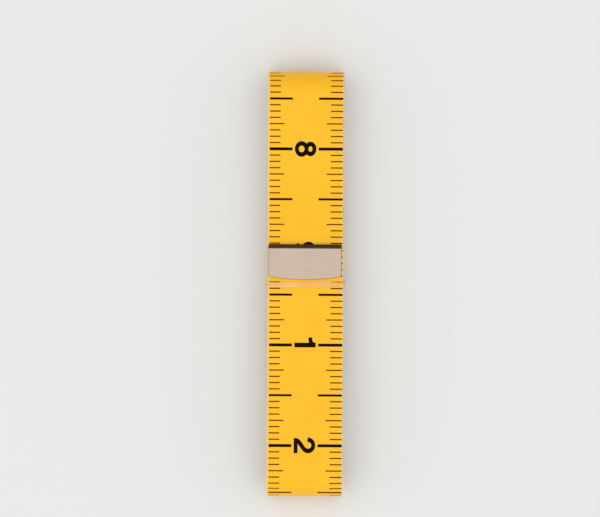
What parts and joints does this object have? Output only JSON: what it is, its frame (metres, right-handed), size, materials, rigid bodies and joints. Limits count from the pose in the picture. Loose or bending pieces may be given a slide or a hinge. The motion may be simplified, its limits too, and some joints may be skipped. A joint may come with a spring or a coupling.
{
  "type": "cloth tape measure",
  "caption": "Flexible printed strip wound flat into a drawn-in bundle, with a folded metal tip on each end and a thin elastic band round its middle.",
  "frame": {"origin": "middle of the bundle's underside, on the surface that it lies on", "axes": "+X across the tape, +Y along the bundle from the zero end's run towards its metal tip, +Z out of the front face"},
  "size_m": [0.0204, 0.1074, 0.0124],
  "materials": {
    "printed_tape": "satin coated cloth, yellow outside and white inside, with a printed scale",
    "tip_metal": "matt pressed sheet metal",
    "band_elastic": "translucent elastic"
  },
  "bodies": {
    "bundle": {"tape_winding": "printed_tape", "inner_end_ferrule": "tip_metal"},
    "tip": {"tape_tip": "printed_tape", "outer_end_ferrule": "tip_metal"},
    "band": {"elastic_band": "band_elastic"}
  },
  "joints": [
    {"name": "tip_lift", "type": "hinge", "parent": "bundle", "child": "tip", "pos_m": [0, 0.00075, 0.01143], "axis": [1, 0, 0], "range_deg": [0, 60], "stiffness_Nm_per_rad": 0.0004},
    {"name": "band_slide", "type": "slide", "parent": "bundle", "child": "band", "axis": [0, -1, 0], "range_m": [0, 0.012]}
  ]
}
